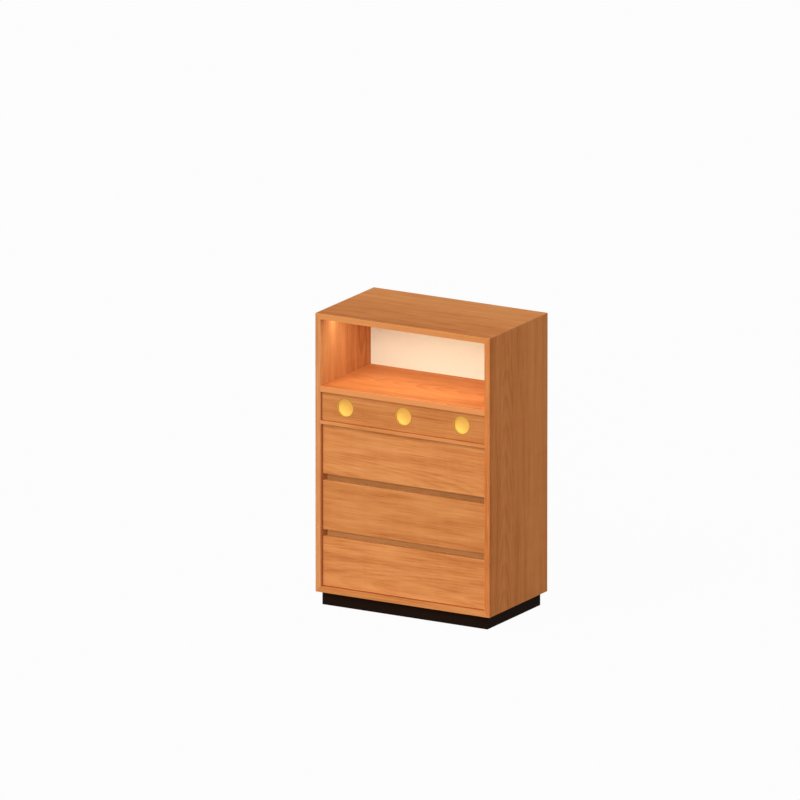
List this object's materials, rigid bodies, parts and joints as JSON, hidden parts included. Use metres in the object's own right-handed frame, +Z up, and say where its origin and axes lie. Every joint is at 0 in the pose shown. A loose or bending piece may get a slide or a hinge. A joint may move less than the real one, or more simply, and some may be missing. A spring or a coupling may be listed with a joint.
{
  "type": "storage cabinet",
  "caption": "Wooden chest with a lit open niche over a shallow drawer with round brass finger cups and deep handleless drawers, on a black set-back plinth.",
  "frame": {"origin": "on the floor under the middle of the cabinet", "axes": "+X to the right as seen from the front, -Y out of the front, +Z up"},
  "size_m": [0.6, 0.348, 0.905],
  "materials": {
    "wood_carcass": "satin lacquered cherry veneer, grain along each board",
    "wood_front": "satin lacquered cherry veneer, grain left to right",
    "wood_box": "clear-lacquered birch",
    "wood_hidden": "plain beech",
    "cream_panel": "cream satin paint on board",
    "back_board": "thin veneered fibreboard",
    "plinth_paint": "near-black satin paint",
    "brass": "brushed and lacquered",
    "runner_steel": "zinc plated",
    "screw_steel": "zinc plated",
    "light_aluminium": "anodised",
    "light_strip": "white circuit board with light diodes",
    "light_diffuser": "opal, lit from behind",
    "cable": "off-white sheath",
    "black_plastic": "moulded, fine texture",
    "glide_plastic": "moulded, hard"
  },
  "bodies": {
    "carcass": {"top_panel": "wood_carcass", "bottom_panel": "wood_carcass", "left_side_panel": "wood_carcass", "right_side_panel": "wood_carcass", "niche_shelf": "wood_carcass", "drawer_divider": "wood_carcass", "finger_rails": "wood_carcass", "niche_back_panel": "cream_panel", "rear_panel": "back_board", "mitre_splines": "wood_hidden", "carcass_dowels": "wood_hidden", "rear_panel_screws": "screw_steel", "plinth_front": "plinth_paint", "plinth_rear": "plinth_paint", "plinth_sides": "plinth_paint", "plinth_corner_blocks": "wood_hidden", "levelling_glides": "glide_plastic", "cabinet_runner_members": "runner_steel", "cabinet_runner_screws": "screw_steel", "light_channel": "light_aluminium", "light_board": "light_strip", "light_diffuser": "light_diffuser", "light_cable": "cable", "light_driver": "black_plastic", "power_inlet": "black_plastic"},
    "drawer_1": {"drawer_1_front": "wood_front", "drawer_1_left_side": "wood_box", "drawer_1_right_side": "wood_box", "drawer_1_back": "wood_box", "drawer_1_bottom": "wood_box", "drawer_1_runner_members": "runner_steel", "drawer_1_runner_screws": "screw_steel", "finger_cups": "brass", "finger_cup_nuts": "screw_steel"},
    "runner_1": {"drawer_1_middle_members": "runner_steel"},
    "drawer_2": {"drawer_2_front": "wood_front", "drawer_2_left_side": "wood_box", "drawer_2_right_side": "wood_box", "drawer_2_back": "wood_box", "drawer_2_bottom": "wood_box", "drawer_2_runner_members": "runner_steel", "drawer_2_runner_screws": "screw_steel"},
    "runner_2": {"drawer_2_middle_members": "runner_steel"},
    "drawer_3": {"drawer_3_front": "wood_front", "drawer_3_left_side": "wood_box", "drawer_3_right_side": "wood_box", "drawer_3_back": "wood_box", "drawer_3_bottom": "wood_box", "drawer_3_runner_members": "runner_steel", "drawer_3_runner_screws": "screw_steel"},
    "runner_3": {"drawer_3_middle_members": "runner_steel"},
    "drawer_4": {"drawer_4_front": "wood_front", "drawer_4_left_side": "wood_box", "drawer_4_right_side": "wood_box", "drawer_4_back": "wood_box", "drawer_4_bottom": "wood_box", "drawer_4_runner_members": "runner_steel", "drawer_4_runner_screws": "screw_steel"},
    "runner_4": {"drawer_4_middle_members": "runner_steel"}
  },
  "joints": [
    {"name": "drawer_1_slide", "type": "slide", "parent": "carcass", "child": "drawer_1", "axis": [0, -1, 0], "range_m": [0, 0.285]},
    {"name": "runner_1_slide", "type": "slide", "parent": "carcass", "child": "runner_1", "axis": [0, -1, 0], "range_m": [0, 0.1425]},
    {"name": "drawer_2_slide", "type": "slide", "parent": "carcass", "child": "drawer_2", "axis": [0, -1, 0], "range_m": [0, 0.285]},
    {"name": "runner_2_slide", "type": "slide", "parent": "carcass", "child": "runner_2", "axis": [0, -1, 0], "range_m": [0, 0.1425]},
    {"name": "drawer_3_slide", "type": "slide", "parent": "carcass", "child": "drawer_3", "axis": [0, -1, 0], "range_m": [0, 0.285]},
    {"name": "runner_3_slide", "type": "slide", "parent": "carcass", "child": "runner_3", "axis": [0, -1, 0], "range_m": [0, 0.1425]},
    {"name": "drawer_4_slide", "type": "slide", "parent": "carcass", "child": "drawer_4", "axis": [0, -1, 0], "range_m": [0, 0.285]},
    {"name": "runner_4_slide", "type": "slide", "parent": "carcass", "child": "runner_4", "axis": [0, -1, 0], "range_m": [0, 0.1425]}
  ],
  "couplings": [
    {"joint": "runner_1_slide", "follows": "drawer_1_slide", "ratio": 0.5},
    {"joint": "runner_2_slide", "follows": "drawer_2_slide", "ratio": 0.5},
    {"joint": "runner_3_slide", "follows": "drawer_3_slide", "ratio": 0.5},
    {"joint": "runner_4_slide", "follows": "drawer_4_slide", "ratio": 0.5}
  ]
}
